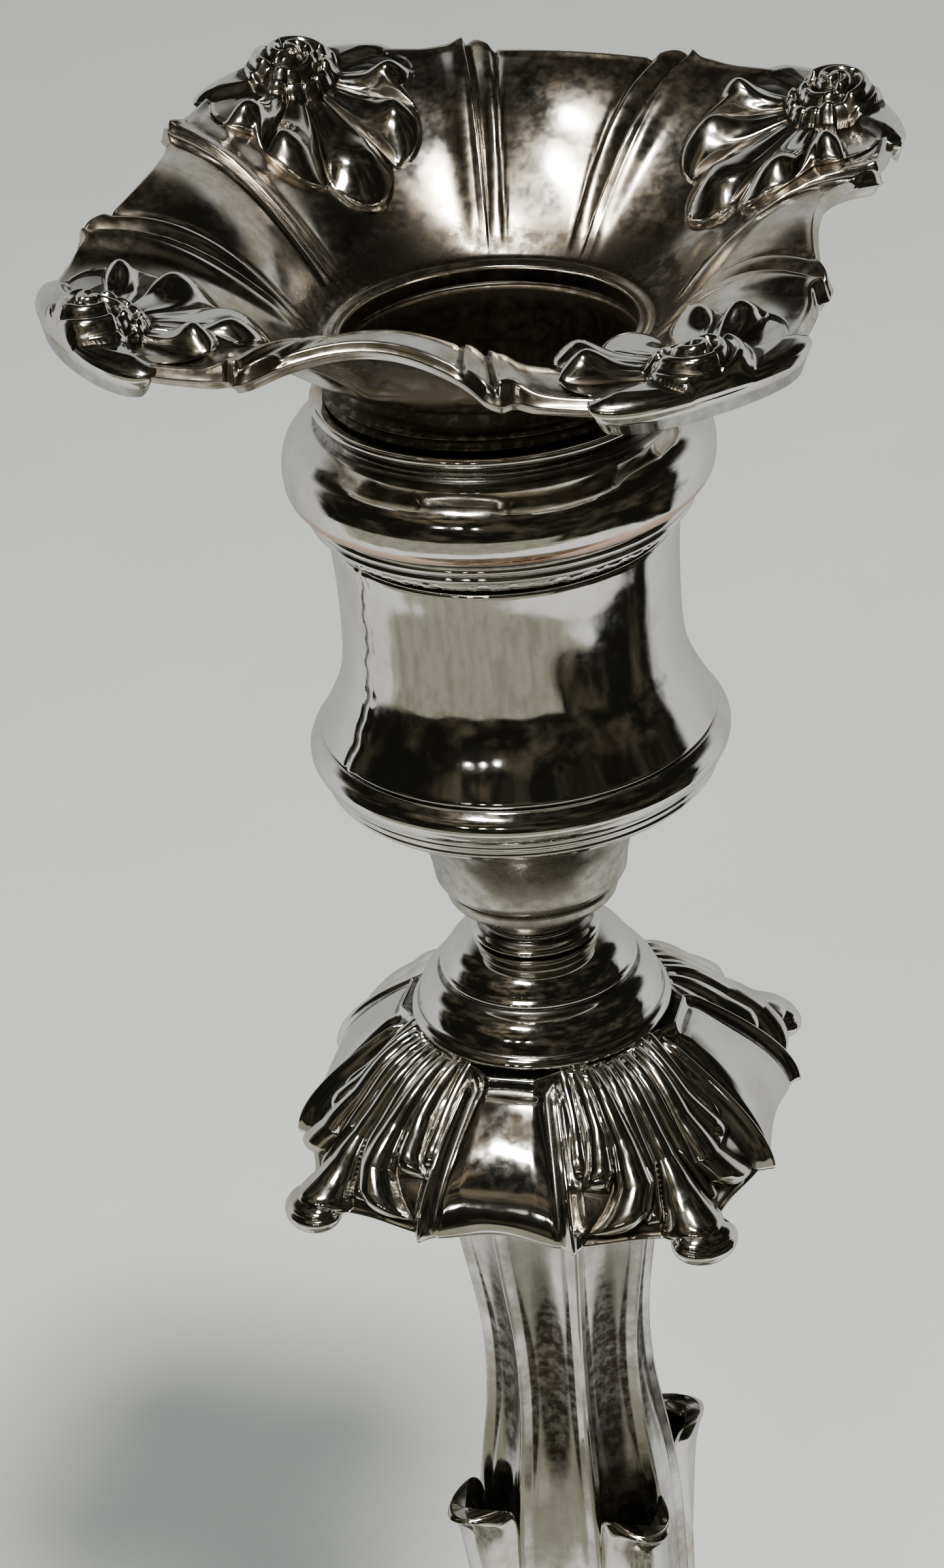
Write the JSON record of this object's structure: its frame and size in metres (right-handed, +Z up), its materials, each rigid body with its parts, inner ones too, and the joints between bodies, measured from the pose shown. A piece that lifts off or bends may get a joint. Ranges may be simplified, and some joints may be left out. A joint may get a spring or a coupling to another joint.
{
  "type": "candlestick",
  "caption": "Silver-plated table candlestick with a square shell-cornered lift-out nozzle, waisted socket, gadrooned shoulder, fluted stem and square base.",
  "frame": {"origin": "centre of the baize pad's underside, on the table", "axes": "+Z up along the candle's axis; plain panels face +X, -X, +Y and -Y, and the shell corners lie on the diagonals"},
  "size_m": [0.1082, 0.1082, 0.2546],
  "materials": {
    "silver_plate": "polished silver plate with olive tarnish in the hollows",
    "worn_plate": "polished silver plate worn to the copper on its edges",
    "iron": "dull forged iron",
    "pitch": "dull black pitch",
    "baize": "green baize"
  },
  "bodies": {
    "stick": {"socket_rim": "worn_plate", "socket_barrel": "silver_plate", "socket_girdle": "silver_plate", "socket_bowl": "silver_plate", "neck_ring": "worn_plate", "bell_knop": "silver_plate", "shoulder_body": "silver_plate", "shoulder_shell_1": "silver_plate", "shoulder_shell_2": "silver_plate", "shoulder_shell_3": "silver_plate", "shoulder_shell_4": "silver_plate", "stem_upper": "silver_plate", "stem_leaf_1": "silver_plate", "stem_leaf_2": "silver_plate", "stem_leaf_3": "silver_plate", "stem_leaf_4": "silver_plate", "stem_knop": "silver_plate", "stem_foot": "silver_plate", "base_dome": "silver_plate", "base_pan": "silver_plate", "base_shell_1": "silver_plate", "base_shell_2": "silver_plate", "base_shell_3": "silver_plate", "base_shell_4": "silver_plate", "tie_rod": "iron", "rod_washer": "iron", "rod_nut": "iron", "loading": "pitch", "base_cover": "worn_plate", "baize_pad": "baize"},
    "liner": {"socket_liner": "silver_plate"},
    "nozzle": {"nozzle_pan": "silver_plate", "nozzle_shell_1": "silver_plate", "nozzle_shell_2": "silver_plate", "nozzle_shell_3": "silver_plate", "nozzle_shell_4": "silver_plate", "nozzle_sleeve": "silver_plate"}
  },
  "joints": [
    {"name": "nozzle_turn", "type": "hinge", "parent": "stick", "child": "liner", "pos_m": [0, 0, 0.24], "axis": [0, 0, 1], "continuous": true},
    {"name": "nozzle_lift", "type": "slide", "parent": "liner", "child": "nozzle", "axis": [0, 0, 1], "range_m": [0, 0.045]}
  ]
}
